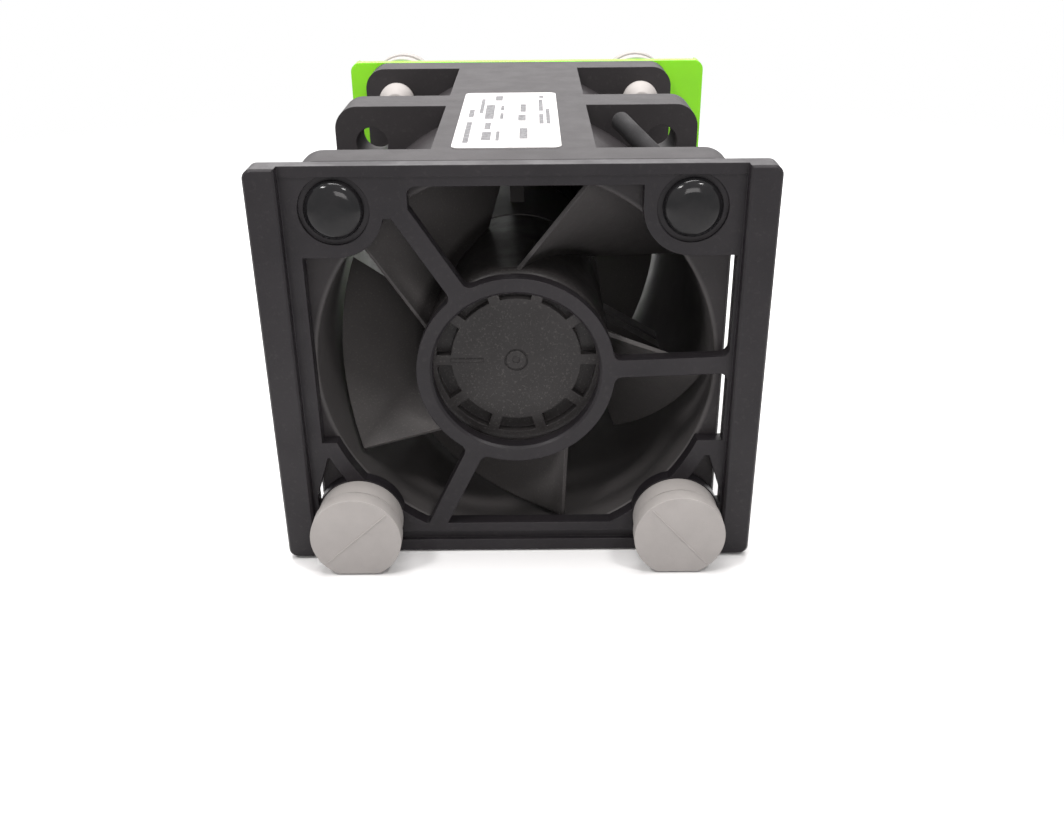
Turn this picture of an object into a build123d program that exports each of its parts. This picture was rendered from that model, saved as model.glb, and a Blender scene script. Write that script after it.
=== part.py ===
from build123d import *
import os
from math import cos, hypot, radians, sin, sqrt, tan

# Counter-rotating fan module for a one-unit server, in millimetres.
# Two 40 mm axial fans stand back to back behind a black front bracket, with a green carrier at the rear.
# X is to the right as seen from the front, Y runs with the air from front to rear, Z is up.
# The origin is under the fan axis, on the base plane, at the joint between the two fans.

os.makedirs("parts", exist_ok=True)

# Driving sizes of the two fans
fan_size = 40.0
fan_length = 28.0
hole_pitch_share = 0.8
flange_hole_radius = 1.75
flange_corner = 2.5
bore_inset = 0.9
bore_lip = 0.35
tube_wall = 0.6
flat_inset = 12.35
front_end_flange = 4.6
front_joint_flange = 2.7
rear_end_flange = 5.3
rear_joint_flange = 3.5
edge_round = 0.25
axis_height = fan_size / 2

# Clearances
seat_gap = 0.02
running_gap = 0.03
cut_over = 1.0

# Motor base, the fixed middle of each housing
base_radius = 9.25
base_floor = 1.6
base_wall = 0.85
base_depth = 7.4
boss_wall = 0.9
boss_depth = 6.4
strut_count = 3
strut_width = 1.6
strut_start = 0.4
strut_depth = 2.3
strut_angle = 90.0

# Bearings, sleeve and shaft
shaft_radius = 1.25
shaft_start = 2.0
bearing_radius = 3.0
bearing_width = 2.6
inner_bearing_start = 3.0
outer_bearing_start = 19.0
inner_ring_wall = 0.6
outer_ring_wall = 0.5
ball_radius = 0.5
ball_count = 7
sleeve_wall = 0.7
sleeve_end = 22.0
shoulder_height = 0.6
spring_height = 0.6
spring_thickness = 0.2
clip_thickness = 0.4
clip_reach = 1.0
clip_mouth = 1.6
clip_groove = 0.25
clip_gap = 0.3

# Stator
stator_start = 10.5
stator_stack = 6.0
stator_radius = 6.1
shoe_thickness = 0.5
shoe_angle = 62.0
tooth_width = 1.8
tooth_count = 4
core_wall = 0.6
insulator_thickness = 0.5
coil_wall = 0.95
coil_radial_gap = 0.1

# Circuit board
board_thickness = 0.8
board_gap = 0.4
chip_length = 2.6
chip_width = 1.6
chip_height = 0.6
chip_count = 3
chip_ring_radius = 6.0
sensor_size = 0.9

# Rotor
hub_radius = 9.25
hub_recess = 1.7
hub_end = 8.0
hub_round = 0.9
cap_thickness = 1.7
yoke_wall = 0.6
yoke_radius = 8.3
yoke_end = 8.2
yoke_boss_radius = 1.85
magnet_wall = 1.2
magnet_start = 9.0
magnet_end = 18.5

# Slots and gate mark in the hub face
slot_count = 10
slot_inner_radius = 6.4
slot_outer_radius = 7.85
slot_rib_angle = 8.0
slot_depth = 1.0
gate_ring_radius = 1.15
gate_ring_width = 0.16
gate_depth = 0.12
gate_nub_radius = 0.35
face_rib_width = 0.35
face_rib_height = 0.12

# Blades
blade_tip_gap = 0.5
blade_outer_end = 25.8
blade_inner_end = 11.0
blade_wrap = 50.0
blade_sweep = 24.0
blade_thickness = 1.05
blade_edge = 0.45
blade_camber = 0.9
blade_root_plane = 8.0
front_blade_count = 5
front_blade_start = -6.5
rear_blade_count = 4
rear_blade_start = 78.0

# Front bracket
strip_gap = 0.15
plate_thickness = 1.5
strip_width = 2.85
strip_thickness = 2.7
bracket_corner = 0.9
window_left_inset = 1.45
window_right_inset = 0.4
window_top_inset = 1.9
window_bottom_inset = 3.25
window_round = 0.8
ring_chamfer = 0.25
spoke_round = 0.8
strip_chamfer = 0.2
boss_radius = 4.4
left_web_reach = 6.6
left_web_height = 2.9
ring_outer_radius = 9.5
ring_inner_radius = 8.0
spoke_width = 1.75
spoke_angles = (2.0, 123.0, 244.0)
band_gap = 0.1
band_width = 1.5
band_rise = 8.6
corner_hole_rise = 6.9
corner_hole_foot = 1.4
corner_hole_left_inset = 0.45
corner_hole_right_inset = 0.2
corner_hole_slant = 1.4
corner_hole_drop = 4.3
lip_height = 1.0
lip_step = 0.12
groove_inset = 2.25
groove_height = 1.0
groove_half_length = 12.2
groove_depth = 0.5
countersink_width = 0.5
countersink_depth = 0.35

# Black push rivets of the upper corners
dome_radius = 2.7
dome_height = 1.15
dome_flat_radius = 1.95
rivet_shank_radius = 1.6
rivet_tip_radius = 1.6
rivet_barb_radius = 2.45
rivet_barb_length = 2.4
tail_radius = 1.0
tail_reach = 12.5
left_tail_lean = 0.9
left_tail_drop = 0.4
right_tail_lean = 5.1
right_tail_rise = 4.1

# Grey rubber bumper rivets
bumper_radius = 4.5
bumper_neck_radius = 3.9
bumper_back_radius = 4.3
bumper_back_width = 2.15
bumper_groove_width = 0.4
bumper_front_width = 1.65
bumper_round = 0.3
barb_radius = 2.3
barb_length = 2.6
barb_end_radius = 1.3
nub_radius = 0.7
nub_length = 1.3

# Green rear carrier
carrier_left_reach = 2.7
carrier_right_reach = 4.9
carrier_thickness = 1.6
carrier_corner = 1.2
carrier_window_inset = 0.5
rim_width = 1.0
rim_height = 1.0

# Connector at the foot of the carrier
connector_width = 14.0
connector_depth = 4.6
connector_height = 7.0
connector_wall = 0.8
socket_height = 5.0
pocket_wall = 1.0
contact_count = 6
contact_pitch = 1.9
contact_size = 0.5
contact_length = 4.0

# Label on the top flat
label_left = 5.8
label_right = 4.45
label_length = 27.8
label_thickness = 0.1
label_corner = 0.7

# Places that several pieces share
bracket_height = fan_size
hole_pitch = fan_size * hole_pitch_share
hole_offset = hole_pitch / 2
bore_radius = fan_size / 2 - bore_inset
tube_radius = bore_radius + tube_wall
flat_width = fan_size - 2 * flat_inset
blade_tip_radius = bore_radius - blade_tip_gap
strip_inner = hole_offset + bumper_radius + strip_gap
bracket_width = 2 * (strip_inner + strip_width)
window_left = strip_inner - window_left_inset
window_right = strip_inner - window_right_inset
window_top = bracket_height / 2 - window_top_inset
window_bottom = bracket_height / 2 - window_bottom_inset
band_inner_radius = bore_radius + band_gap
band_start = hole_offset - band_rise
carrier_left = fan_size / 2 + carrier_left_reach
carrier_right = fan_size / 2 + carrier_right_reach
carrier_window_radius = bore_radius - carrier_window_inset
sleeve_radius = bearing_radius + sleeve_wall
front_face = Plane(origin=(0, 0, axis_height), x_dir=(1, 0, 0), z_dir=(0, -1, 0))
rear_face = Plane(origin=(0, 0, axis_height), x_dir=(-1, 0, 0), z_dir=(0, 1, 0))


class Half:
    """One fan of the pair. Its plane lies on the joint and faces outwards."""

    def __init__(self, name, face, end_flange, joint_flange, blade_count, blade_start, blade_turn):
        self.name = name
        self.face = face
        self.end_flange = end_flange
        self.joint_flange = joint_flange
        self.blade_count = blade_count
        self.blade_start = blade_start
        self.blade_turn = blade_turn

    def at(self, distance):
        """The plane across the fan axis at that distance from the joint."""
        return self.face.offset(distance)

    def profile(self):
        """The plane of a turned profile: x is the radius, y the distance from the joint."""
        across = self.face.x_dir
        along = self.face.z_dir
        return Plane(origin=self.face.origin, x_dir=across, z_dir=across.cross(along))

    def axis(self):
        return Axis(self.face.origin, self.face.z_dir)


front = Half("front", front_face, front_end_flange, front_joint_flange,
             front_blade_count, front_blade_start, -blade_wrap)
rear = Half("rear", rear_face, rear_end_flange, rear_joint_flange,
            rear_blade_count, rear_blade_start, blade_wrap)


def keep(piece, name):
    """Labels a finished piece and writes its file."""
    piece.part.label = name
    export_step(piece.part, f"parts/{name}.step")


def turned_ring(half, inner, outer, start, end):
    """A plain ring about the fan axis, as a profile for revolve."""
    with BuildSketch(half.profile()) as profile:
        with BuildLine():
            Polyline((inner, start), (outer, start), (outer, end), (inner, end), close=True)
        make_face()
    revolve(profile.sketch, axis=half.axis())


def make_housing(half):
    with BuildPart() as housing:
        with BuildSketch(half.at(0)):
            RectangleRounded(fan_size, fan_size, flange_corner)
        extrude(amount=half.joint_flange)
        with BuildSketch(half.at(fan_length - half.end_flange)):
            RectangleRounded(fan_size, fan_size, flange_corner)
        extrude(amount=half.end_flange)
        outer_rim = housing.faces().sort_by(half.axis())[-1].outer_wire().edges()
        chamfer(outer_rim, length=edge_round)
        with BuildSketch(half.at(0)):
            Circle(tube_radius)
            Rectangle(flat_width, fan_size)
            Rectangle(fan_size, flat_width)
        extrude(amount=fan_length - edge_round)
        with BuildSketch(half.at(0)):
            Circle(bore_radius)
        extrude(amount=fan_length, mode=Mode.SUBTRACT)
        mouth = housing.faces().sort_by(half.axis())[-1].inner_wires()[0].edges()
        fillet(mouth, radius=bore_lip)
        with BuildSketch(half.at(0)):
            with GridLocations(hole_pitch, hole_pitch, 2, 2):
                Circle(flange_hole_radius)
        extrude(amount=fan_length, mode=Mode.SUBTRACT)
        with BuildSketch(half.at(0)):
            Circle(base_radius)
        extrude(amount=base_floor)
        with BuildSketch(half.at(0)):
            Circle(base_radius)
            Circle(base_radius - base_wall, mode=Mode.SUBTRACT)
            Circle(sleeve_radius + seat_gap + boss_wall)
            Circle(sleeve_radius + seat_gap, mode=Mode.SUBTRACT)
        extrude(amount=base_depth)
        with BuildSketch(half.at(boss_depth)):
            Circle(sleeve_radius + seat_gap + boss_wall)
        extrude(amount=base_depth - boss_depth + cut_over, mode=Mode.SUBTRACT)
        with BuildSketch(half.at(strut_start)):
            inner_end = base_radius - base_wall / 2
            outer_end = (bore_radius + tube_radius) / 2
            with PolarLocations((inner_end + outer_end) / 2, strut_count, start_angle=strut_angle):
                Rectangle(outer_end - inner_end, strut_width)
        extrude(amount=strut_depth)
    return housing


def make_sleeve(half):
    with BuildPart() as sleeve:
        seat = bearing_radius + seat_gap
        shoulder = bearing_radius - shoulder_height
        first_seat = inner_bearing_start + bearing_width
        second_seat = outer_bearing_start - spring_height
        with BuildSketch(half.profile()):
            with BuildLine():
                Polyline(
                    (seat, base_floor), (sleeve_radius, base_floor), (sleeve_radius, sleeve_end),
                    (seat, sleeve_end), (seat, second_seat), (shoulder, second_seat),
                    (shoulder, first_seat), (seat, first_seat), close=True,
                )
            make_face()
        revolve(axis=half.axis())
    return sleeve


def race_middle():
    """The radius of the circle that the ball centres lie on."""
    inner_outside = shaft_radius + seat_gap + inner_ring_wall
    outer_inside = bearing_radius - outer_ring_wall
    return (inner_outside + outer_inside) / 2


def bearing_starts():
    return (inner_bearing_start, outer_bearing_start)


def cut_race(half, start):
    """The groove that the balls run in."""
    with BuildSketch(half.profile()) as groove:
        with Locations((race_middle(), start + bearing_width / 2)):
            Circle(ball_radius + running_gap)
    revolve(groove.sketch, axis=half.axis(), mode=Mode.SUBTRACT)


def make_outer_rings(half):
    with BuildPart() as rings:
        for start in bearing_starts():
            turned_ring(half, bearing_radius - outer_ring_wall, bearing_radius, start, start + bearing_width)
            cut_race(half, start)
    return rings


def make_inner_rings(half):
    with BuildPart() as rings:
        bore = shaft_radius + seat_gap
        for start in bearing_starts():
            turned_ring(half, bore, bore + inner_ring_wall, start, start + bearing_width)
            cut_race(half, start)
    return rings


def make_balls(half):
    with BuildPart() as balls:
        for start in bearing_starts():
            with Locations(half.at(start + bearing_width / 2)):
                with PolarLocations(race_middle(), ball_count):
                    Sphere(ball_radius)
    return balls


def make_shaft(half):
    with BuildPart() as shaft:
        end = fan_length - hub_recess - cap_thickness
        with BuildSketch(half.at(shaft_start)):
            Circle(shaft_radius)
        extrude(amount=end - shaft_start)
        groove_start = inner_bearing_start - clip_gap - clip_thickness
        with BuildSketch(half.at(groove_start - seat_gap)):
            Circle(shaft_radius)
            Circle(shaft_radius - clip_groove, mode=Mode.SUBTRACT)
        extrude(amount=clip_thickness + 2 * seat_gap, mode=Mode.SUBTRACT)
    return shaft


def make_clip(half):
    with BuildPart() as clip:
        start = inner_bearing_start - clip_gap - clip_thickness
        with BuildSketch(half.at(start)):
            Circle(shaft_radius - clip_groove + clip_reach)
            Circle(shaft_radius - clip_groove + seat_gap, mode=Mode.SUBTRACT)
            with Locations((0, -shaft_radius - clip_reach / 2)):
                Rectangle(clip_mouth, shaft_radius + clip_reach, mode=Mode.SUBTRACT)
        extrude(amount=clip_thickness)
    return clip


def make_spring(half):
    """A conical spring washer that presses the outer bearing's outer ring away from the shoulder."""
    with BuildPart() as spring:
        low = outer_bearing_start - spring_height
        inside = bearing_radius - outer_ring_wall
        outside = bearing_radius - running_gap
        with BuildSketch(half.profile()):
            with BuildLine():
                Polyline(
                    (inside, low), (outside, low + spring_height - spring_thickness),
                    (outside, low + spring_height), (inside, low + spring_thickness), close=True,
                )
            make_face()
        revolve(axis=half.axis())
    return spring


def make_stator_core(half):
    with BuildPart() as core:
        bore = sleeve_radius + seat_gap
        with BuildSketch(half.at(stator_start)):
            Circle(stator_radius)
            Circle(stator_radius - shoe_thickness, mode=Mode.SUBTRACT)
            gap_angle = 360 / tooth_count - shoe_angle
            gap_width = 2 * stator_radius * sin(radians(gap_angle / 2))
            with PolarLocations(stator_radius, tooth_count, start_angle=180 / tooth_count):
                Rectangle(2 * shoe_thickness + gap_width / 2, gap_width, mode=Mode.SUBTRACT)
            with PolarLocations((bore + stator_radius - shoe_thickness / 2) / 2, tooth_count):
                Rectangle(stator_radius - shoe_thickness / 2 - bore, tooth_width)
            Circle(bore + core_wall)
            Circle(bore, mode=Mode.SUBTRACT)
        extrude(amount=stator_stack)
    return core


def make_insulator(half):
    with BuildPart() as insulator:
        bore = sleeve_radius + seat_gap
        for start in (stator_start - insulator_thickness, stator_start + stator_stack):
            with BuildSketch(half.at(start)):
                with PolarLocations((bore + stator_radius - shoe_thickness) / 2, tooth_count):
                    Rectangle(stator_radius - shoe_thickness - bore, tooth_width)
                Circle(bore + core_wall)
                Circle(bore, mode=Mode.SUBTRACT)
            extrude(amount=insulator_thickness)
    return insulator


def make_coils(half):
    with BuildPart() as coils:
        inner = sleeve_radius + seat_gap + core_wall + coil_radial_gap
        half_width = tooth_width / 2 + coil_wall + seat_gap
        outer = sqrt((stator_radius - shoe_thickness) ** 2 - half_width**2) - coil_radial_gap
        tooth_height = stator_stack + 2 * insulator_thickness
        with BuildSketch(half.at(stator_start - insulator_thickness - coil_wall)):
            with PolarLocations((inner + outer) / 2, tooth_count):
                Rectangle(outer - inner, 2 * half_width)
        extrude(amount=tooth_height + 2 * coil_wall)
        with BuildSketch(half.at(stator_start - insulator_thickness - seat_gap)):
            with PolarLocations((inner + outer) / 2, tooth_count):
                Rectangle(outer - inner + cut_over, tooth_width + 2 * seat_gap)
        extrude(amount=tooth_height + 2 * seat_gap, mode=Mode.SUBTRACT)
    return coils


def make_board(half):
    with BuildPart() as board:
        top = boss_depth + board_thickness
        with BuildSketch(half.at(boss_depth)):
            Circle(base_radius - base_wall - board_gap)
            Circle(sleeve_radius + seat_gap, mode=Mode.SUBTRACT)
        extrude(amount=board_thickness)
        with BuildSketch(half.at(boss_depth)):
            with PolarLocations(chip_ring_radius, chip_count, start_angle=strut_angle):
                Rectangle(chip_width, chip_length)
        extrude(amount=-chip_height)
        with BuildSketch(half.at(top)):
            with Locations((0, -chip_ring_radius)):
                Rectangle(sensor_size, sensor_size)
        extrude(amount=magnet_start - top - board_gap)
    return board


def make_yoke(half):
    with BuildPart() as yoke:
        top = fan_length - hub_recess - cap_thickness
        floor = top - yoke_wall
        boss_start = outer_bearing_start + bearing_width
        bore = shaft_radius + seat_gap
        with BuildSketch(half.profile()):
            with BuildLine():
                Polyline(
                    (bore, boss_start), (yoke_boss_radius, boss_start), (yoke_boss_radius, floor),
                    (yoke_radius - yoke_wall, floor), (yoke_radius - yoke_wall, yoke_end),
                    (yoke_radius, yoke_end), (yoke_radius, top), (bore, top), close=True,
                )
            make_face()
        revolve(axis=half.axis())
    return yoke


def make_magnet(half):
    with BuildPart() as magnet:
        outside = yoke_radius - yoke_wall - seat_gap
        turned_ring(half, outside - magnet_wall, outside, magnet_start, magnet_end)
    return magnet


def blade_section(half, plane_radius, outer_angle):
    """A thin cambered section in a plane that faces out along the blade's middle angle."""
    middle = outer_angle + half.blade_turn / 2
    radial = half.face.x_dir * cos(radians(middle)) + half.face.y_dir * sin(radians(middle))
    along = half.face.z_dir
    around = along.cross(radial)
    section = Plane(origin=half.face.origin + radial * plane_radius, x_dir=around, z_dir=radial)
    reach = plane_radius * tan(radians(half.blade_turn / 2))
    outer_end = Vector(-reach, blade_outer_end)
    inner_end = Vector(reach, blade_inner_end)
    chord = (inner_end - outer_end).normalized()
    normal = Vector(-chord.Y, chord.X)
    middle_point = (outer_end + inner_end) / 2 + normal * blade_camber
    edge = normal * (blade_edge / 2)
    belly = normal * (blade_thickness / 2)
    with BuildSketch(section) as sketch:
        with BuildLine():
            ThreePointArc(outer_end + edge, middle_point + belly, inner_end + edge)
            Line(inner_end + edge, inner_end - edge)
            ThreePointArc(inner_end - edge, middle_point - belly, outer_end - edge)
            Line(outer_end - edge, outer_end + edge)
        make_face()
    return sketch


def make_impeller(half):
    with BuildPart() as impeller:
        tip_plane = blade_tip_radius / cos(radians(blade_wrap / 2))
        for number in range(half.blade_count):
            tip_angle = half.blade_start + number * 360 / half.blade_count
            root = blade_section(half, blade_root_plane, tip_angle + blade_sweep)
            tip = blade_section(half, tip_plane, tip_angle)
            loft([root.sketch, tip.sketch])
        with BuildSketch(half.at(0)):
            Circle(blade_tip_radius)
        extrude(amount=fan_length, mode=Mode.INTERSECT)
        with BuildSketch(half.at(0)):
            Circle(yoke_radius + seat_gap)
        extrude(amount=fan_length, mode=Mode.SUBTRACT)
        face = fan_length - hub_recess
        inside = yoke_radius + seat_gap
        with BuildSketch(half.profile()):
            with BuildLine():
                Polyline(
                    (0, face - cap_thickness), (inside, face - cap_thickness), (inside, hub_end),
                    (hub_radius, hub_end), (hub_radius, face - hub_round),
                )
                RadiusArc((hub_radius, face - hub_round), (hub_radius - hub_round, face), -hub_round)
                Polyline((hub_radius - hub_round, face), (0, face), (0, face - cap_thickness))
            make_face()
        revolve(axis=half.axis())
        with BuildSketch(half.at(face)):
            Circle(slot_outer_radius)
            Circle(slot_inner_radius, mode=Mode.SUBTRACT)
            rib_width = slot_outer_radius * radians(slot_rib_angle)
            with PolarLocations(slot_outer_radius, slot_count):
                Rectangle(slot_outer_radius, rib_width, mode=Mode.SUBTRACT)
        extrude(amount=-slot_depth, mode=Mode.SUBTRACT)
        with BuildSketch(half.at(face)):
            Circle(gate_ring_radius)
            Circle(gate_ring_radius - gate_ring_width, mode=Mode.SUBTRACT)
            Circle(gate_nub_radius)
        extrude(amount=-gate_depth, mode=Mode.SUBTRACT)
        with BuildSketch(half.at(face)):
            rib_length = slot_inner_radius / 2
            with PolarLocations(slot_inner_radius - rib_length / 2, 1, start_angle=180):
                Rectangle(rib_length, face_rib_width)
        extrude(amount=face_rib_height)
    return impeller


def corners_of(piece, distance, reach):
    """The edges along the fan axis whose distance from it is within reach of the one given."""
    along = piece.edges().filter_by(Axis.Y)
    return along.filter_by(lambda edge: abs(hypot(edge.center().X, edge.center().Z - axis_height) - distance) < reach)


def below_band():
    """The region outside the round band in the window's lower corners, flat on the ground plane."""
    with BuildSketch() as region:
        with Locations((0, -band_start)):
            Rectangle(bracket_width, fan_size, align=(Align.CENTER, Align.MAX))
        Circle(band_inner_radius, mode=Mode.SUBTRACT)
    return region.sketch


def make_bracket():
    """The front plate: window, ring, three spokes, corner bosses and two raised side strips."""
    outside_band = below_band()
    plate_front = fan_length + plate_thickness
    with BuildPart() as bracket:
        with BuildSketch(front.at(fan_length)):
            RectangleRounded(bracket_width, bracket_height, bracket_corner)
        extrude(amount=plate_thickness)
        with BuildSketch(front.at(fan_length)):
            with Locations(((window_right - window_left) / 2, (window_top - window_bottom) / 2)):
                RectangleRounded(window_left + window_right, window_top + window_bottom, window_round)
            add(outside_band, mode=Mode.SUBTRACT)
            for across in (-1, 1):
                for up in (-1, 1):
                    side = Align.MIN if across > 0 else Align.MAX
                    end = Align.MIN if up > 0 else Align.MAX
                    with Locations((across * hole_offset, up * hole_offset)):
                        Circle(boss_radius, mode=Mode.SUBTRACT)
                    with Locations((across * (hole_offset - boss_radius), up * hole_offset)):
                        Rectangle(fan_size, fan_size, align=(side, end), mode=Mode.SUBTRACT)
                    with Locations((across * hole_offset, up * (hole_offset - boss_radius))):
                        Rectangle(fan_size, fan_size, align=(side, end), mode=Mode.SUBTRACT)
            with Locations((left_web_reach - hole_offset, window_top - left_web_height)):
                Rectangle(left_web_reach, fan_size, align=(Align.MAX, Align.MIN), mode=Mode.SUBTRACT)
            Circle(ring_outer_radius, mode=Mode.SUBTRACT)
            spoke_length = bracket_width / 2
            for angle in spoke_angles:
                with PolarLocations(spoke_length / 2 + ring_inner_radius, 1, start_angle=angle):
                    Rectangle(spoke_length, spoke_width, mode=Mode.SUBTRACT)
        extrude(amount=plate_thickness, mode=Mode.SUBTRACT)
        fillet(corners_of(bracket, ring_outer_radius, spoke_width / 4), radius=spoke_round)
        fillet(corners_of(bracket, window_right, spoke_width / 8), radius=spoke_round)
        with BuildSketch(front.at(fan_length)):
            Circle(ring_inner_radius)
        extrude(amount=plate_thickness, mode=Mode.SUBTRACT)
        ring_edge = bracket.faces().sort_by(front.axis())[-1].edges().filter_by(GeomType.CIRCLE)
        chamfer(ring_edge.filter_by(lambda edge: edge.is_closed), length=ring_chamfer)
        with BuildSketch(front.at(fan_length)):
            top = corner_hole_rise - hole_offset
            foot = corner_hole_foot - hole_offset
            left = corner_hole_left_inset - strip_inner
            right = strip_inner - corner_hole_right_inset
            with BuildLine():
                Polyline(
                    (left, foot), (left, top - corner_hole_drop), (left + corner_hole_slant, top),
                    (right - corner_hole_slant, top), (right, top - corner_hole_drop), (right, foot), close=True,
                )
            make_face()
            Circle(band_inner_radius + band_width, mode=Mode.SUBTRACT)
            with Locations((-hole_offset, -hole_offset), (hole_offset, -hole_offset)):
                Circle(boss_radius, mode=Mode.SUBTRACT)
        extrude(amount=plate_thickness, mode=Mode.SUBTRACT)
        with BuildSketch(front.at(plate_front)):
            with Locations((-hole_offset, hole_offset), (hole_offset, hole_offset)):
                Circle(dome_radius + countersink_width)
        extrude(amount=-countersink_depth, mode=Mode.SUBTRACT)
        with BuildSketch(front.at(plate_front)):
            with Locations((0, groove_inset - (bracket_height + groove_height) / 2)):
                Rectangle(2 * groove_half_length, groove_height)
        extrude(amount=-groove_depth, mode=Mode.SUBTRACT)
        with BuildSketch(front.at(fan_length)):
            with GridLocations(hole_pitch, hole_pitch, 2, 2):
                Circle(flange_hole_radius)
        extrude(amount=plate_thickness, mode=Mode.SUBTRACT)
        with BuildSketch(front.at(plate_front)):
            RectangleRounded(bracket_width, bracket_height, bracket_corner)
            Rectangle(bracket_width - 2 * strip_width, bracket_height, mode=Mode.SUBTRACT)
        extrude(amount=strip_thickness - plate_thickness)
        chamfer(bracket.faces().sort_by(front.axis())[-2:].edges(), length=strip_chamfer)
        with BuildSketch(front.at(plate_front)):
            with Locations((0, bracket_height / 2 - lip_height / 2)):
                Rectangle(bracket_width - 2 * strip_width, lip_height)
        extrude(amount=lip_step)
    return bracket


def make_front_rivets():
    """Two domed push rivets with a slotted barb and a long pull tail behind the flange."""
    with BuildPart() as rivets:
        seat = fan_length + plate_thickness - countersink_depth
        back = fan_length - front_end_flange
        for across, rise, lean in ((-1, -left_tail_drop, left_tail_lean), (1, right_tail_rise, right_tail_lean)):
            place = front.at(0)
            centre = place.origin + place.x_dir * (across * hole_offset) + place.y_dir * hole_offset
            turn = Plane(origin=centre, x_dir=place.x_dir, z_dir=place.x_dir.cross(place.z_dir))
            shoulder = seat + dome_height - (dome_radius - dome_flat_radius)
            with BuildSketch(turn):
                with BuildLine():
                    Polyline(
                        (0, back - rivet_barb_length), (rivet_tip_radius, back - rivet_barb_length),
                        (rivet_barb_radius, back - rivet_barb_length / 2), (rivet_barb_radius, back),
                        (rivet_shank_radius, back), (rivet_shank_radius, seat), (dome_radius, seat),
                        (dome_radius, shoulder),
                    )
                    RadiusArc((dome_radius, shoulder), (dome_flat_radius, seat + dome_height),
                              -(dome_radius - dome_flat_radius))
                    Polyline((dome_flat_radius, seat + dome_height), (0, seat + dome_height),
                             (0, back - rivet_barb_length))
                make_face()
            revolve(axis=Axis(centre, place.z_dir))
            tail_end_distance = back - rivet_barb_length
            foot = centre + place.z_dir * tail_end_distance
            end = foot - place.z_dir * tail_reach - place.x_dir * (across * lean) + place.y_dir * rise
            direction = end - foot
            with BuildSketch(Plane(origin=foot - direction * (tail_radius / tail_reach), z_dir=direction)):
                Circle(tail_radius)
            extrude(amount=direction.length)
    return rivets


def make_bumpers(half, places, outward_start, flange):
    """Rubber rivets: a grooved double disc outside, a shank through the holes, a barb and a nub inside."""
    with BuildPart() as bumpers:
        back_end = outward_start + bumper_back_width
        groove_end = back_end + bumper_groove_width
        front_end = groove_end + bumper_front_width
        barb_start = fan_length - flange
        barb_end = barb_start - barb_length
        nub_end = barb_end - nub_length
        for across, up in places:
            place = half.at(0)
            centre = place.origin + place.x_dir * (across * hole_offset) + place.y_dir * (up * hole_offset)
            turn = Plane(origin=centre, x_dir=place.x_dir, z_dir=place.x_dir.cross(place.z_dir))
            with BuildSketch(turn):
                with BuildLine():
                    Polyline(
                        (0, nub_end), (nub_radius, nub_end), (nub_radius, barb_end), (barb_end_radius, barb_end),
                        (barb_radius, barb_start - barb_length / 3), (barb_radius, barb_start),
                        (rivet_shank_radius, barb_start), (rivet_shank_radius, outward_start),
                        (bumper_back_radius, outward_start), (bumper_back_radius, back_end),
                        (bumper_neck_radius, back_end), (bumper_neck_radius, groove_end),
                        (bumper_radius, groove_end), (bumper_radius, front_end - bumper_round),
                    )
                    RadiusArc((bumper_radius, front_end - bumper_round),
                              (bumper_radius - bumper_round, front_end), -bumper_round)
                    Polyline((bumper_radius - bumper_round, front_end), (0, front_end), (0, nub_end))
                make_face()
            revolve(axis=Axis(centre, place.z_dir))
        with BuildSketch(half.at(fan_length)):
            with Locations((0, -fan_size / 2)):
                Rectangle(2 * fan_size, fan_size, align=(Align.CENTER, Align.MAX))
        extrude(amount=fan_length, mode=Mode.SUBTRACT)
    return bumpers


def make_carrier():
    """The green plate behind the rear flange, with a stiffening rim and the connector's pocket."""
    with BuildPart() as carrier:
        width = carrier_left + carrier_right
        middle = -(carrier_right - carrier_left) / 2
        with BuildSketch(rear.at(fan_length)):
            with Locations((middle, 0)):
                RectangleRounded(width, fan_size, carrier_corner)
            Circle(carrier_window_radius, mode=Mode.SUBTRACT)
            with GridLocations(hole_pitch, hole_pitch, 2, 2):
                Circle(flange_hole_radius, mode=Mode.SUBTRACT)
        extrude(amount=carrier_thickness)
        with BuildSketch(rear.at(fan_length + carrier_thickness)):
            with Locations((middle, 0)):
                RectangleRounded(width, fan_size, carrier_corner)
                Rectangle(width - 2 * rim_width, fan_size + cut_over, mode=Mode.SUBTRACT)
        extrude(amount=rim_height)
        pocket_width = connector_width + 2 * pocket_wall
        with BuildSketch(rear.at(fan_length + carrier_thickness)):
            with Locations((0, -axis_height)):
                Rectangle(pocket_width, connector_height + pocket_wall, align=(Align.CENTER, Align.MIN))
                Rectangle(connector_width, connector_height, align=(Align.CENTER, Align.MIN), mode=Mode.SUBTRACT)
        extrude(amount=connector_depth)
        with BuildSketch(rear.at(fan_length)):
            with Locations((0, -axis_height)):
                Rectangle(pocket_width, connector_height + pocket_wall, align=(Align.CENTER, Align.MIN))
        extrude(amount=carrier_thickness)
    return carrier


def make_connector_housing():
    """The black connector body in the pocket, open downwards."""
    with BuildPart() as housing:
        start = fan_length + carrier_thickness
        with BuildSketch(rear.at(start)):
            with Locations((0, -axis_height)):
                Rectangle(connector_width, connector_height, align=(Align.CENTER, Align.MIN))
        extrude(amount=connector_depth)
        with BuildSketch(rear.at(start + connector_wall)):
            with Locations((0, -axis_height)):
                Rectangle(connector_width - 2 * connector_wall, socket_height, align=(Align.CENTER, Align.MIN))
        extrude(amount=connector_depth - 2 * connector_wall, mode=Mode.SUBTRACT)
    return housing


def make_contacts():
    """A row of square pins that stand down from the socket's roof."""
    with BuildPart() as contacts:
        start = fan_length + carrier_thickness + connector_depth / 2 - contact_size / 2
        with BuildSketch(rear.at(start)):
            with Locations((0, socket_height - contact_length / 2 - axis_height)):
                with GridLocations(contact_pitch, contact_length, contact_count, 1):
                    Rectangle(contact_size, contact_length)
        extrude(amount=contact_size)
    return contacts


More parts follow.
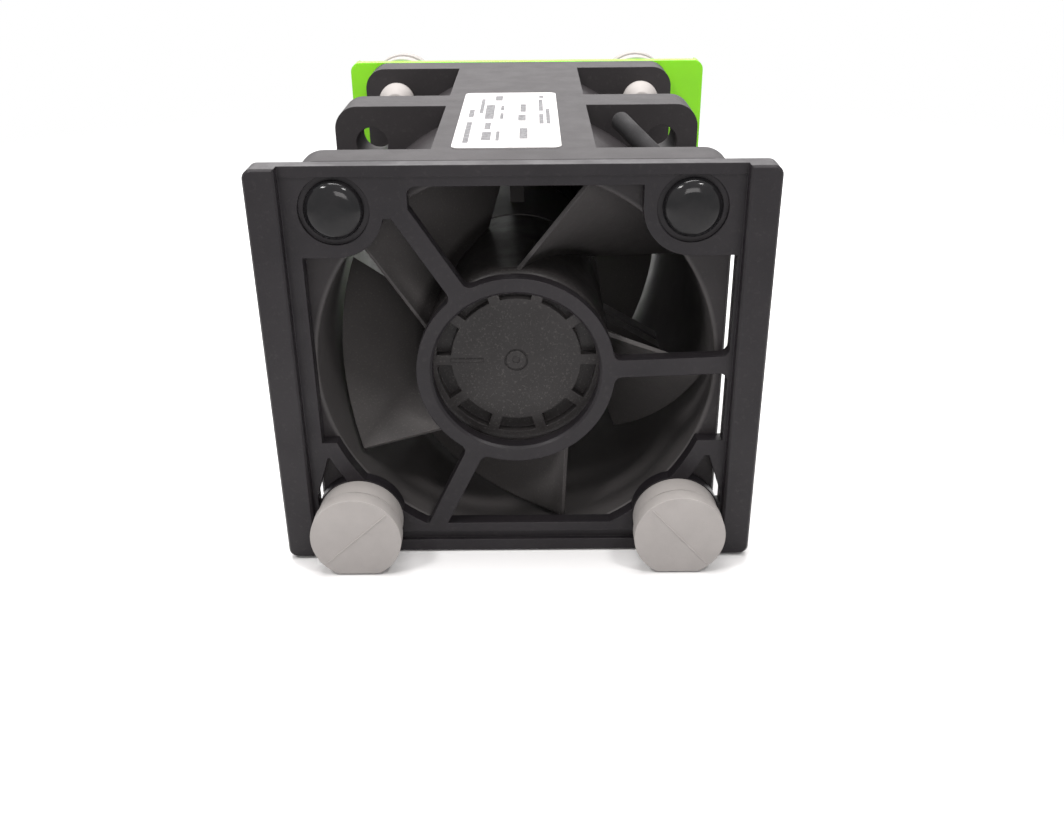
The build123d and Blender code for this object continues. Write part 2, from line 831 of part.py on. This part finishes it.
def make_label():
    """The plate label on the top flat, from the front flange to past the joint."""
    with BuildPart() as label:
        start = fan_length - front_end_flange
        width = label_left + label_right
        with BuildSketch(Plane.XY.offset(fan_size)):
            with Locations(((label_right - label_left) / 2, label_length / 2 - start)):
                RectangleRounded(width, label_length, label_corner)
        extrude(amount=label_thickness)
    return label


for half in (front, rear):
    keep(make_housing(half), f"{half.name}_housing")
    keep(make_sleeve(half), f"{half.name}_bearing_sleeve")
    keep(make_outer_rings(half), f"{half.name}_bearing_outer_rings")
    keep(make_inner_rings(half), f"{half.name}_bearing_inner_rings")
    keep(make_balls(half), f"{half.name}_bearing_balls")
    keep(make_shaft(half), f"{half.name}_shaft")
    keep(make_clip(half), f"{half.name}_retaining_clip")
    keep(make_spring(half), f"{half.name}_preload_spring")
    keep(make_stator_core(half), f"{half.name}_stator_core")
    keep(make_insulator(half), f"{half.name}_insulator")
    keep(make_coils(half), f"{half.name}_coils")
    keep(make_board(half), f"{half.name}_circuit_board")
    keep(make_yoke(half), f"{half.name}_rotor_yoke")
    keep(make_magnet(half), f"{half.name}_magnet_ring")
    keep(make_impeller(half), f"{half.name}_impeller")

keep(make_bracket(), "front_bracket")
keep(make_front_rivets(), "front_rivets")
keep(make_bumpers(front, [(-1, -1), (1, -1)], fan_length + plate_thickness, front_end_flange), "front_bumpers")
keep(make_bumpers(rear, [(-1, -1), (1, -1), (-1, 1), (1, 1)], fan_length + carrier_thickness, rear_end_flange),
     "rear_bumpers")
keep(make_carrier(), "rear_carrier")
keep(make_connector_housing(), "connector_housing")
keep(make_contacts(), "connector_contacts")
keep(make_label(), "label")
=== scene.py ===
from math import cos, pi, radians, sin

import bmesh
import bpy
from mathutils import Matrix, Vector


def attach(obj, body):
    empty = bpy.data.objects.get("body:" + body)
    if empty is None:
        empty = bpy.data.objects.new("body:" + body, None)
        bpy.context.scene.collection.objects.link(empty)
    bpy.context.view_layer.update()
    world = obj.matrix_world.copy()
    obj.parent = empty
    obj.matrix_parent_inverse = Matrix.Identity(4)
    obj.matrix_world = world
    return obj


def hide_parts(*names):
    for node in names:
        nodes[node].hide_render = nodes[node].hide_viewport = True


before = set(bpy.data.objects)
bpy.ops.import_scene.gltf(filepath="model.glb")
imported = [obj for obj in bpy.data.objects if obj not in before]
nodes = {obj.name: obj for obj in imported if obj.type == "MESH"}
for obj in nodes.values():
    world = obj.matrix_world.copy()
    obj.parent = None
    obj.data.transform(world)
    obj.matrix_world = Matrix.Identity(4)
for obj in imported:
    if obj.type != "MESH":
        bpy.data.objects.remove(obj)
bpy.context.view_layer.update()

# Fan module of a one-unit server: two square axial fans back to back, a black front bracket,
# a green rear carrier, rubber rivets and a plain white label. Metres, X right, Y with the air, Z up.

MM = 0.001
AXIS_HEIGHT = 20.0
FAN_LENGTH = 28.0
HOLE_OFFSET = 16.0


def aim_camera():
    """The photograph's viewpoint, from a fit to the edges of the fans and the bracket."""
    pitch = radians(26.69)
    yaw = radians(-0.12)
    roll = radians(-0.51)
    forward = Vector((sin(yaw) * cos(pitch), cos(yaw) * cos(pitch), -sin(pitch)))
    right = Vector((cos(yaw), -sin(yaw), 0.0))
    up = right.cross(forward)
    camera_x = cos(roll) * right + sin(roll) * up
    camera_y = cos(roll) * up - sin(roll) * right
    turn = Matrix((camera_x, camera_y, -forward)).transposed().to_4x4()
    data = bpy.data.cameras.new("camera")
    data.sensor_fit = "HORIZONTAL"
    data.sensor_width = 36.0
    data.lens = 36.44
    data.clip_start = 0.005
    data.clip_end = 10.0
    camera = bpy.data.objects.new("camera", data)
    camera.matrix_world = Matrix.Translation(Vector((1.70, -123.17, 62.53)) * MM) @ turn
    bpy.context.scene.collection.objects.link(camera)
    bpy.context.scene.camera = camera


def hang_lamp(name, place, target, size, power, tint):
    """A soft square lamp that faces the target. Places in millimetres."""
    data = bpy.data.lights.new(name, "AREA")
    data.shape = "RECTANGLE"
    data.size = size[0] * MM
    data.size_y = size[1] * MM
    data.energy = power
    data.color = tint
    lamp = bpy.data.objects.new(name, data)
    lamp.location = Vector(place) * MM
    lamp.rotation_euler = (Vector(target) - Vector(place)).to_track_quat("-Z", "Y").to_euler()
    bpy.context.scene.collection.objects.link(lamp)


def straight_view(made, links):
    """One for what the camera sees, directly, through glass or in a glossy surface."""
    path = made.new("ShaderNodeLightPath")
    value = path.outputs["Is Camera Ray"]
    for ray in ("Is Glossy Ray", "Is Transmission Ray"):
        either = made.new("ShaderNodeMath")
        either.operation = "MAXIMUM"
        links.new(value, either.inputs[0])
        links.new(path.outputs[ray], either.inputs[1])
        value = either.outputs[0]
    return value


def light_studio():
    """An even white room with two soft lamps above, left and right of the camera."""
    hang_lamp("lamp_left", (-200, -170, 340), (0, -10, 25), (90, 40), 0.55, (1.0, 0.98, 0.97))
    hang_lamp("lamp_right", (150, -180, 340), (0, -10, 25), (70, 40), 0.40, (1.0, 0.98, 0.97))
    hang_lamp("lamp_above", (-20, 60, 450), (0, 0, 30), (260, 260), 2.8, (1.0, 0.98, 0.98))
    hang_lamp("lamp_front", (40, -420, 150), (0, -20, 20), (160, 120), 0.38, (1.0, 0.97, 0.96))
    hang_lamp("lamp_behind", (10, 420, 260), (0, 0, 40), (420, 200), 0.60, (1.0, 0.96, 0.97))
    world = bpy.data.worlds.new("room")
    world.use_nodes = True
    links = world.node_tree.links
    made = world.node_tree.nodes
    light = made["Background"]
    light.inputs["Color"].default_value = (1.0, 0.99, 0.98, 1.0)
    light.inputs["Strength"].default_value = 0.28
    seen = made.new("ShaderNodeBackground")
    seen.inputs["Color"].default_value = (1.0, 1.0, 1.0, 1.0)
    seen.inputs["Strength"].default_value = 1.0
    mix = made.new("ShaderNodeMixShader")
    links.new(straight_view(made, links), mix.inputs[0])
    links.new(light.outputs[0], mix.inputs[1])
    links.new(seen.outputs[0], mix.inputs[2])
    links.new(mix.outputs[0], made["World Output"].inputs["Surface"])
    bpy.context.scene.world = world


def lay_floor():
    """A pale floor under everything, white to the camera but for the module's soft shadow."""
    bm = bmesh.new()
    bmesh.ops.create_grid(bm, x_segments=1, y_segments=1, size=2.5)
    mesh = bpy.data.meshes.new("floor")
    bm.to_mesh(mesh)
    bm.free()
    floor = bpy.data.objects.new("floor", mesh)
    floor.location = (0, 0, -0.0002)
    bpy.context.scene.collection.objects.link(floor)
    paint = bpy.data.materials.new("floor_paint")
    paint.use_nodes = True
    made = paint.node_tree.nodes
    links = paint.node_tree.links
    made.remove(made["Principled BSDF"])
    matt = made.new("ShaderNodeBsdfDiffuse")
    matt.inputs["Color"].default_value = (0.50, 0.50, 0.51, 1.0)
    seen = made.new("ShaderNodeBsdfDiffuse")
    seen.inputs["Color"].default_value = (0.97, 0.97, 0.97, 1.0)
    distance = made.new("ShaderNodeVectorMath")
    distance.operation = "LENGTH"
    links.new(made.new("ShaderNodeTexCoord").outputs["Object"], distance.inputs[0])
    fade = made.new("ShaderNodeMapRange")
    fade.interpolation_type = "SMOOTHSTEP"
    fade.inputs["From Min"].default_value = 0.08
    fade.inputs["From Max"].default_value = 0.22
    links.new(distance.outputs["Value"], fade.inputs["Value"])
    room = made.new("ShaderNodeMixShader")
    links.new(fade.outputs[0], room.inputs[0])
    links.new(seen.outputs[0], room.inputs[1])
    links.new(made.new("ShaderNodeBsdfTransparent").outputs[0], room.inputs[2])
    mix = made.new("ShaderNodeMixShader")
    links.new(straight_view(made, links), mix.inputs[0])
    links.new(matt.outputs[0], mix.inputs[1])
    links.new(room.outputs[0], mix.inputs[2])
    links.new(mix.outputs[0], made["Material Output"].inputs["Surface"])
    mesh.materials.append(paint)


class Finish:
    """A material under way: its shader, and the nodes that vary it over the surface."""

    def __init__(self, name, colour, roughness, specular=0.5):
        self.material = bpy.data.materials.new(name)
        self.material.use_nodes = True
        self.made = self.material.node_tree.nodes
        self.links = self.material.node_tree.links
        self.shader = self.made["Principled BSDF"]
        self.shader.inputs["Base Color"].default_value = (*colour, 1.0)
        self.shader.inputs["Roughness"].default_value = roughness
        self.shader.inputs["Specular IOR Level"].default_value = specular
        self.place = self.made.new("ShaderNodeTexCoord").outputs["Object"]
        self.last_bump = None

    def cloud(self, size_mm, detail=4.0, roughness=0.55, stretch=None):
        """Noise with features about that many millimetres across."""
        noise = self.made.new("ShaderNodeTexNoise")
        noise.inputs["Scale"].default_value = 1.0 / (size_mm * MM)
        noise.inputs["Detail"].default_value = detail
        noise.inputs["Roughness"].default_value = roughness
        if stretch:
            mapping = self.made.new("ShaderNodeMapping")
            mapping.inputs["Scale"].default_value = stretch
            self.links.new(self.place, mapping.inputs["Vector"])
            self.links.new(mapping.outputs[0], noise.inputs["Vector"])
        else:
            self.links.new(self.place, noise.inputs["Vector"])
        return noise.outputs["Fac"]

    def remap(self, value, low, high, start=0.35, end=0.65):
        """Value between start and end, spread from low to high."""
        spread = self.made.new("ShaderNodeMapRange")
        spread.inputs["From Min"].default_value = start
        spread.inputs["From Max"].default_value = end
        spread.inputs["To Min"].default_value = low
        spread.inputs["To Max"].default_value = high
        self.links.new(value, spread.inputs["Value"])
        return spread.outputs[0]

    def tint(self, value, first, second, start=0.35, end=0.65):
        """The colour runs from first to second with the value."""
        ramp = self.made.new("ShaderNodeValToRGB")
        ramp.color_ramp.elements[0].position = start
        ramp.color_ramp.elements[0].color = (*first, 1.0)
        ramp.color_ramp.elements[1].position = end
        ramp.color_ramp.elements[1].color = (*second, 1.0)
        self.links.new(value, ramp.inputs[0])
        self.links.new(ramp.outputs[0], self.shader.inputs["Base Color"])
        return ramp.outputs[0]

    def overlay(self, colour_under, value, colour_over):
        """A second colour over the first where the value is high."""
        mix = self.made.new("ShaderNodeMix")
        mix.data_type = "RGBA"
        self.links.new(value, mix.inputs[0])
        self.links.new(colour_under, mix.inputs[6])
        mix.inputs[7].default_value = (*colour_over, 1.0)
        self.links.new(mix.outputs[2], self.shader.inputs["Base Color"])
        return mix.outputs[2]

    def air_path(self, axis, start_mm, end_mm, low, high):
        """Runs from low to high with the distance from a line along Y through the axis point."""
        apart = self.made.new("ShaderNodeVectorMath")
        apart.operation = "SUBTRACT"
        self.links.new(self.place, apart.inputs[0])
        apart.inputs[1].default_value = axis
        across = self.made.new("ShaderNodeVectorMath")
        across.operation = "MULTIPLY"
        self.links.new(apart.outputs["Vector"], across.inputs[0])
        across.inputs[1].default_value = (1.0, 0.0, 1.0)
        distance = self.made.new("ShaderNodeVectorMath")
        distance.operation = "LENGTH"
        self.links.new(across.outputs["Vector"], distance.inputs[0])
        return self.remap(distance.outputs["Value"], low, high, start_mm * MM, end_mm * MM)

    def gloss(self, value, low, high, start=0.35, end=0.65):
        self.links.new(self.remap(value, low, high, start, end), self.shader.inputs["Roughness"])

    def round_edges(self, radius_mm):
        """Moulded edges catch the light as if they had a small radius."""
        edge = self.made.new("ShaderNodeBevel")
        edge.samples = 6
        edge.inputs["Radius"].default_value = radius_mm * MM
        self.last_bump = edge.outputs[0]

    def relief(self, value, height_mm, strength=1.0):
        """Bumps of about that height, added to those already there."""
        bump = self.made.new("ShaderNodeBump")
        bump.inputs["Distance"].default_value = height_mm * MM
        bump.inputs["Strength"].default_value = strength
        self.links.new(value, bump.inputs["Height"])
        if self.last_bump:
            self.links.new(self.last_bump, bump.inputs["Normal"])
        self.last_bump = bump.outputs[0]
        self.links.new(self.last_bump, self.shader.inputs["Normal"])


def black_moulding(name, dark, light, rough_low, rough_high, grain_mm, dust_mm=0.6, dust_cover=0.035,
                   air_path=None):
    """Black ABS: a fine spark-eroded grain, faint flow clouds, soft edges and a little dust. Along the air path a
    paler grey is partly dust and partly painted light.
    """
    finish = Finish(name, dark, rough_low, 0.22)
    finish.round_edges(0.14)
    flow = finish.cloud(9.0, detail=5.0)
    colour = finish.tint(flow, dark, light)
    # Along the air path the colour turns a paler grey: partly a dust film, partly painted light that lifts the blades
    # and the duct wall.
    if air_path:
        colour = finish.overlay(colour, finish.air_path(*air_path), (0.105, 0.099, 0.098))
    dust = finish.remap(finish.cloud(dust_mm, detail=6.0, roughness=0.7), 0.0, dust_cover, 0.55, 0.75)
    finish.overlay(colour, dust, (0.35, 0.33, 0.31))
    finish.gloss(finish.cloud(3.0, detail=5.0), rough_low, rough_high)
    finish.relief(finish.cloud(grain_mm, detail=3.0), 0.012)
    finish.relief(finish.cloud(6.0, detail=2.0), 0.02, 0.3)
    return finish.material


def polished_black():
    """The smooth heads of the push rivets."""
    finish = Finish("polished_black", (0.012, 0.012, 0.013), 0.1, 0.22)
    finish.tint(finish.cloud(2.0), (0.010, 0.010, 0.011), (0.016, 0.015, 0.016))
    finish.gloss(finish.cloud(0.8, detail=5.0), 0.07, 0.16)
    finish.relief(finish.cloud(1.5, detail=2.0), 0.01, 0.4)
    return finish.material


def grey_rubber():
    """Soft grey rubber with a fine tooth, paler where it was handled."""
    finish = Finish("grey_rubber", (0.40, 0.385, 0.38), 0.7, 0.35)
    colour = finish.tint(finish.cloud(2.6, detail=5.0), (0.410, 0.385, 0.370), (0.440, 0.415, 0.398))
    marks = finish.remap(finish.cloud(0.35, detail=5.0, roughness=0.7), 0.0, 0.25, 0.60, 0.85)
    finish.overlay(colour, marks, (0.26, 0.25, 0.25))
    finish.gloss(finish.cloud(1.2, detail=4.0), 0.60, 0.80)
    finish.relief(finish.cloud(0.12, detail=3.0), 0.015)
    finish.relief(finish.cloud(1.8, detail=3.0), 0.04, 0.5)
    return finish.material


def lime_plastic():
    """Bright green moulding, a little translucent, with a satin skin."""
    finish = Finish("lime_plastic", (0.22, 0.70, 0.012), 0.4)
    finish.tint(finish.cloud(7.0, detail=4.0), (0.250, 0.75, 0.002), (0.278, 0.81, 0.004))
    finish.gloss(finish.cloud(2.0, detail=4.0), 0.34, 0.48)
    finish.relief(finish.cloud(0.22, detail=3.0), 0.01)
    finish.relief(finish.cloud(5.0, detail=2.0), 0.05, 0.4)
    finish.shader.inputs["Subsurface Weight"].default_value = 0.12
    finish.shader.inputs["Subsurface Radius"].default_value = (0.3, 1.0, 0.1)
    finish.shader.inputs["Subsurface Scale"].default_value = 0.0008
    return finish.material


def label_film():
    """White printed film, very slightly wavy."""
    finish = Finish("label_film", (0.84, 0.84, 0.82), 0.38)
    finish.tint(finish.cloud(4.0, detail=3.0), (0.67, 0.66, 0.65), (0.72, 0.71, 0.70))
    finish.gloss(finish.cloud(1.5, detail=4.0), 0.32, 0.46)
    finish.relief(finish.cloud(3.0, detail=2.0), 0.03, 0.5)
    finish.relief(finish.cloud(0.1, detail=2.0), 0.004)
    return finish.material


def label_ink():
    """Grey-black print with slightly uneven cover."""
    finish = Finish("label_ink", (0.06, 0.06, 0.065), 0.45)
    finish.tint(finish.cloud(0.25, detail=4.0), (0.05, 0.05, 0.055), (0.16, 0.16, 0.165))
    finish.gloss(finish.cloud(0.6), 0.4, 0.55)
    return finish.material


def metal(name, colour, second, rough_low, rough_high, turned=True):
    """Ground or turned metal, with marks that run round the fan axis."""
    finish = Finish(name, colour, rough_low)
    finish.shader.inputs["Metallic"].default_value = 1.0
    finish.tint(finish.cloud(1.6, detail=5.0), colour, second)
    finish.gloss(finish.cloud(0.7, detail=5.0), rough_low, rough_high)
    stretch = (0.15, 3.0, 0.15) if turned else None
    finish.relief(finish.cloud(0.25, detail=3.0, stretch=stretch), 0.004, 0.6)
    return finish.material


def stacked_laminations():
    """Thin steel sheets, 0.35 mm each, along the fan axis."""
    finish = Finish("stacked_laminations", (0.22, 0.22, 0.23), 0.45)
    finish.shader.inputs["Metallic"].default_value = 0.8
    finish.tint(finish.cloud(1.2, detail=4.0), (0.19, 0.19, 0.20), (0.28, 0.28, 0.29))
    wave = finish.made.new("ShaderNodeTexWave")
    wave.bands_direction = "Y"
    wave.inputs["Scale"].default_value = 0.314 / (0.35 * MM) * 0.5
    finish.links.new(finish.place, wave.inputs["Vector"])
    finish.relief(wave.outputs["Fac"], 0.03)
    finish.gloss(finish.cloud(0.8), 0.38, 0.55)
    return finish.material


def copper_winding():
    """Enamelled wire, 0.25 mm, wound round the teeth."""
    finish = Finish("copper_winding", (0.62, 0.22, 0.07), 0.3)
    finish.shader.inputs["Metallic"].default_value = 0.85
    finish.shader.inputs["Coat Weight"].default_value = 0.6
    finish.tint(finish.cloud(0.6, detail=4.0), (0.50, 0.16, 0.05), (0.72, 0.30, 0.10))
    wave = finish.made.new("ShaderNodeTexWave")
    wave.wave_type = "RINGS"
    wave.rings_direction = "Y"
    wave.inputs["Scale"].default_value = 0.314 / (0.25 * MM)
    finish.links.new(finish.place, wave.inputs["Vector"])
    finish.relief(wave.outputs["Fac"], 0.05)
    finish.gloss(finish.cloud(0.5), 0.24, 0.4)
    return finish.material


def smooth_plastic(name, first, second, rough_low, rough_high):
    """Nylon, solder mask and bonded ferrite: an even colour with small clouds and a fine tooth."""
    finish = Finish(name, first, rough_low)
    finish.tint(finish.cloud(2.2, detail=5.0), first, second)
    finish.gloss(finish.cloud(1.1, detail=4.0), rough_low, rough_high)
    finish.relief(finish.cloud(0.15, detail=3.0), 0.01)
    return finish.material


def dress(node, material):
    """Gives a CAD node its finish."""
    data = nodes[node].data
    data.materials.clear()
    data.materials.append(material)


def keep_piece(bm, name, materials, stands_for, body="root", sharp=38.0):
    """Turns a finished bmesh into a piece that rides on its body in place of the CAD node."""
    bmesh.ops.recalc_face_normals(bm, faces=bm.faces)
    mesh = bpy.data.meshes.new(name)
    bm.to_mesh(mesh)
    bm.free()
    for material in materials:
        mesh.materials.append(material)
    for face in mesh.polygons:
        face.use_smooth = True
    mesh.set_sharp_from_angle(angle=radians(sharp))
    piece = bpy.data.objects.new(name, mesh)
    bpy.context.scene.collection.objects.link(piece)
    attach(piece, body)
    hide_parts(stands_for)
    return piece


def turn_on_y(bm, outline, x, z, steps=64):
    """Spins an outline of radius and Y, in millimetres, about a line along Y."""
    centre = Vector((x, 0, z)) * MM
    ring = [bm.verts.new(centre + Vector((radius, y, 0)) * MM) for radius, y in outline]
    rim = [bm.edges.new(pair) for pair in zip(ring, ring[1:])]
    bmesh.ops.spin(bm, geom=ring + rim, cent=centre, axis=(0, 1, 0), dvec=(0, 0, 0),
                   angle=2 * pi, steps=steps, use_merge=True, use_duplicate=False)
    bmesh.ops.remove_doubles(bm, verts=bm.verts, dist=1e-7)


def soften(bm, edges, width, segments=2):
    """Rounds those edges. Width in millimetres."""
    bmesh.ops.bevel(bm, geom=edges, offset=width * MM, affect="EDGES", segments=segments,
                    profile=0.5, material=-1, clamp_overlap=True)


def creases(bm, angle=35.0):
    """Edges whose faces meet at more than that angle."""
    return [e for e in bm.edges if len(e.link_faces) == 2 and e.calc_face_angle(0.0) > radians(angle)]


def join(target, part):
    """Adds a finished bmesh to another and frees it."""
    mesh = bpy.data.meshes.new("part")
    part.to_mesh(mesh)
    part.free()
    target.from_mesh(mesh)
    bpy.data.meshes.remove(mesh)


def bumper_rivets(name, sign, end_face, flange, places, stands_for, rubber):
    """Rubber rivets: two discs with a groove between, a shank, an inner barb and its pull nub."""
    whole = bmesh.new()
    start = sign * end_face
    inside = sign * (FAN_LENGTH - flange)
    for x, z, seam_turn in places:
        bm = bmesh.new()
        outline = [
            (0.0, inside - sign * 3.9), (0.7, inside - sign * 3.9), (0.7, inside - sign * 2.6),
            (1.3, inside - sign * 2.6), (1.9, inside - sign * 1.7), (2.3, inside - sign * 0.87),
            (2.3, inside), (1.6, inside), (1.6, start),
            (4.3, start), (4.3, start + sign * 2.15), (3.9, start + sign * 2.15), (3.9, start + sign * 2.55),
            (4.5, start + sign * 2.55), (4.5, start + sign * 4.2), (0.0, start + sign * 4.2),
        ]
        turn_on_y(bm, outline, x, z)
        bmesh.ops.recalc_face_normals(bm, faces=bm.faces)
        if z < AXIS_HEIGHT:
            cut = bmesh.ops.bisect_plane(bm, geom=bm.verts[:] + bm.edges[:] + bm.faces[:], dist=1e-7,
                                         plane_co=(0, 0, 0), plane_no=(0, 0, -1), clear_outer=True)
            open_edges = [e for e in cut["geom_cut"] if isinstance(e, bmesh.types.BMEdge)]
            bmesh.ops.holes_fill(bm, edges=open_edges)
        soften(bm, creases(bm), 0.16, 3)
        seam = bmesh.new()
        bmesh.ops.create_cube(seam, size=1.0, matrix=Matrix.Diagonal((8.5 * MM, 0.16 * MM, 0.14 * MM, 1)))
        soften(seam, seam.edges[:], 0.04, 2)
        bmesh.ops.rotate(seam, cent=(0, 0, 0), matrix=Matrix.Rotation(radians(seam_turn), 3, "Y"), verts=seam.verts)
        bmesh.ops.translate(seam, vec=Vector((x, start + sign * 4.18, z)) * MM, verts=seam.verts)
        join(bm, seam)
        join(whole, bm)
    return keep_piece(whole, name, [rubber], stands_for)


def push_rivets(gloss, moulded):
    """Domed black heads in a turned collar, a split barb behind the flange and the long pull tail."""
    whole = bmesh.new()
    seat = -(FAN_LENGTH + 1.5 - 0.35)
    back = -(FAN_LENGTH - 4.6)
    for side, lean, rise in ((-1, 0.9, -0.4), (1, 5.1, 3.5)):
        bm = bmesh.new()
        x = side * HOLE_OFFSET
        z = AXIS_HEIGHT + HOLE_OFFSET
        outline = [
            (0.0, back + 2.4), (1.6, back + 2.4), (2.2, back + 1.3), (2.45, back + 0.8), (2.45, back),
            (1.6, back), (1.6, seat), (2.7, seat), (2.7, seat - 0.3), (2.45, seat - 0.75), (2.0, seat - 1.02),
            (1.4, seat - 1.13), (0.7, seat - 1.15), (0.0, seat - 1.15),
        ]
        turn_on_y(bm, outline, x, z, steps=72)
        tail = bmesh.new()
        foot = Vector((x, back + 2.2, z))
        tip = Vector((x - side * lean, back + 2.4 + 12.4, z + rise))
        reach = (tip - foot).length
        bmesh.ops.create_cone(tail, cap_ends=True, segments=28, radius1=1.05 * MM, radius2=0.98 * MM, depth=reach * MM)
        soften(tail, creases(tail), 0.14, 2)
        bmesh.ops.rotate(tail, cent=(0, 0, 0), matrix=(tip - foot).to_track_quat("Z", "Y").to_matrix(), verts=tail.verts)
        bmesh.ops.translate(tail, vec=(foot + tip) / 2 * MM, verts=tail.verts)
        for face in tail.faces:
            face.material_index = 1
        join(bm, tail)
        join(whole, bm)
    return keep_piece(whole, "push_rivets", [gloss, moulded], "front_rivets", sharp=50.0)


def plate_label(film, ink):
    """The white label with round corners and plain bars in place of its print."""
    left = -5.8
    right = 4.45
    near = -(FAN_LENGTH - 4.6)
    length = 27.8
    width = right - left
    bm = bmesh.new()
    bmesh.ops.create_cube(bm, size=1.0, matrix=Matrix.Diagonal((width * MM, length * MM, 0.09 * MM, 1)))
    soften(bm, [e for e in bm.edges if abs(e.verts[0].co.z - e.verts[1].co.z) > 0.01 * MM], 0.8, 6)
    bmesh.ops.translate(bm, vec=Vector(((left + right) / 2, near + length / 2, 2 * AXIS_HEIGHT + 0.045)) * MM,
                        verts=bm.verts)
    bars = (
        (-4.6, 2.0, 0.55, 9.5), (-4.6, 14.0, 0.55, 4.0), (-3.6, 16.0, 0.4, 8.0),
        (-2.7, 3.0, 0.9, 3.8), (-2.7, 8.0, 0.6, 3.2), (-2.7, 13.0, 0.95, 7.5), (-1.4, 13.0, 0.35, 3.0),
        (-1.4, 17.5, 0.35, 2.6), (-1.6, 2.8, 0.35, 4.2), (-1.9, 23.0, 0.8, 2.8),
        (0.9, 3.6, 0.8, 4.8), (0.7, 12.0, 0.8, 3.0), (0.8, 16.6, 0.6, 4.2), (2.7, 10.4, 0.45, 5.0),
        (3.4, 10.4, 0.4, 7.8), (2.7, 17.0, 0.45, 6.5), (2.8, 24.4, 0.5, 1.4),
    )
    for x, start, thickness, reach in bars:
        bar = bmesh.new()
        bmesh.ops.create_cube(bar, size=1.0, matrix=Matrix.Diagonal((thickness * MM, reach * MM, 0.012 * MM, 1)))
        bmesh.ops.translate(bar, vec=Vector((x, near + start + reach / 2, 2 * AXIS_HEIGHT + 0.092)) * MM,
                            verts=bar.verts)
        for face in bar.faces:
            face.material_index = 1
        join(bm, bar)
    return keep_piece(bm, "plate_label", [film, ink], "label")


bpy.context.scene.view_settings.view_transform = "Standard"
aim_camera()
light_studio()
lay_floor()

bracket_black = black_moulding("bracket_black", (0.014, 0.0122, 0.0142), (0.021, 0.0185, 0.0208), 0.32, 0.46, 0.16)
fan_axis = Vector((0, 0, AXIS_HEIGHT * MM))
frame_axis = nodes["front_housing"].matrix_world.inverted() @ fan_axis
rotor_axis = nodes["front_impeller"].matrix_world.inverted() @ fan_axis
# The frame is paler inside the bore and the impeller paler beyond the hub: partly dust, partly painted light.
frame_black = black_moulding("frame_black", (0.024, 0.0213, 0.0225), (0.029, 0.0257, 0.0271), 0.49, 0.54, 0.20,
                             air_path=(frame_axis, 19.2, 19.6, 0.65, 0.0))
impeller_black = black_moulding("impeller_black", (0.024, 0.022, 0.022), (0.036, 0.033, 0.033), 0.34, 0.50, 0.12,
                                dust_mm=0.20, dust_cover=0.24, air_path=(rotor_axis, 10.2, 11.2, 0.0, 0.85))
socket_black = black_moulding("socket_black", (0.016, 0.016, 0.016), (0.024, 0.024, 0.024), 0.35, 0.5, 0.1)
gloss_black = polished_black()
tail_black = black_moulding("tail_black", (0.008, 0.0075, 0.008), (0.012, 0.011, 0.012), 0.60, 0.75, 0.16)
rubber = grey_rubber()
lime = lime_plastic()
steel = metal("ground_steel", (0.56, 0.56, 0.57), (0.66, 0.66, 0.66), 0.18, 0.34)
brass = metal("turned_brass", (0.68, 0.47, 0.19), (0.80, 0.60, 0.28), 0.22, 0.4)
yoke_steel = metal("dark_yoke", (0.16, 0.16, 0.17), (0.24, 0.24, 0.25), 0.35, 0.5)
gold = metal("contact_gold", (0.85, 0.60, 0.20), (0.92, 0.70, 0.30), 0.2, 0.32, turned=False)
ferrite = smooth_plastic("bonded_ferrite", (0.045, 0.043, 0.045), (0.075, 0.072, 0.075), 0.55, 0.72)
nylon = smooth_plastic("winding_nylon", (0.60, 0.57, 0.48), (0.68, 0.65, 0.56), 0.40, 0.55)
mask = smooth_plastic("solder_mask", (0.012, 0.11, 0.035), (0.02, 0.16, 0.05), 0.25, 0.4)
laminations = stacked_laminations()
copper = copper_winding()

inner_finishes = {
    "bearing_sleeve": brass, "bearing_outer_rings": steel, "bearing_inner_rings": steel, "bearing_balls": steel,
    "shaft": steel, "retaining_clip": steel, "preload_spring": steel, "stator_core": laminations,
    "insulator": nylon, "coils": copper, "circuit_board": mask, "rotor_yoke": yoke_steel,
    "magnet_ring": ferrite, "impeller": impeller_black, "housing": frame_black,
}
for half in ("front", "rear"):
    for part, material in inner_finishes.items():
        dress(f"{half}_{part}", material)
dress("front_bracket", bracket_black)
dress("rear_carrier", lime)
dress("connector_housing", socket_black)
dress("connector_contacts", gold)

bottom = AXIS_HEIGHT - HOLE_OFFSET
top = AXIS_HEIGHT + HOLE_OFFSET
bumper_rivets("front_bumper_rivets", -1, FAN_LENGTH + 1.5, 4.6,
              [(-HOLE_OFFSET, bottom, -42.0), (HOLE_OFFSET, bottom, 48.0)], "front_bumpers", rubber)
bumper_rivets("rear_bumper_rivets", 1, FAN_LENGTH + 1.6, 5.3,
              [(-HOLE_OFFSET, bottom, 42.0), (HOLE_OFFSET, bottom, -48.0),
               (-HOLE_OFFSET, top, -30.0), (HOLE_OFFSET, top, 25.0)], "rear_bumpers", rubber)
push_rivets(gloss_black, tail_black)
plate_label(label_film(), label_ink())
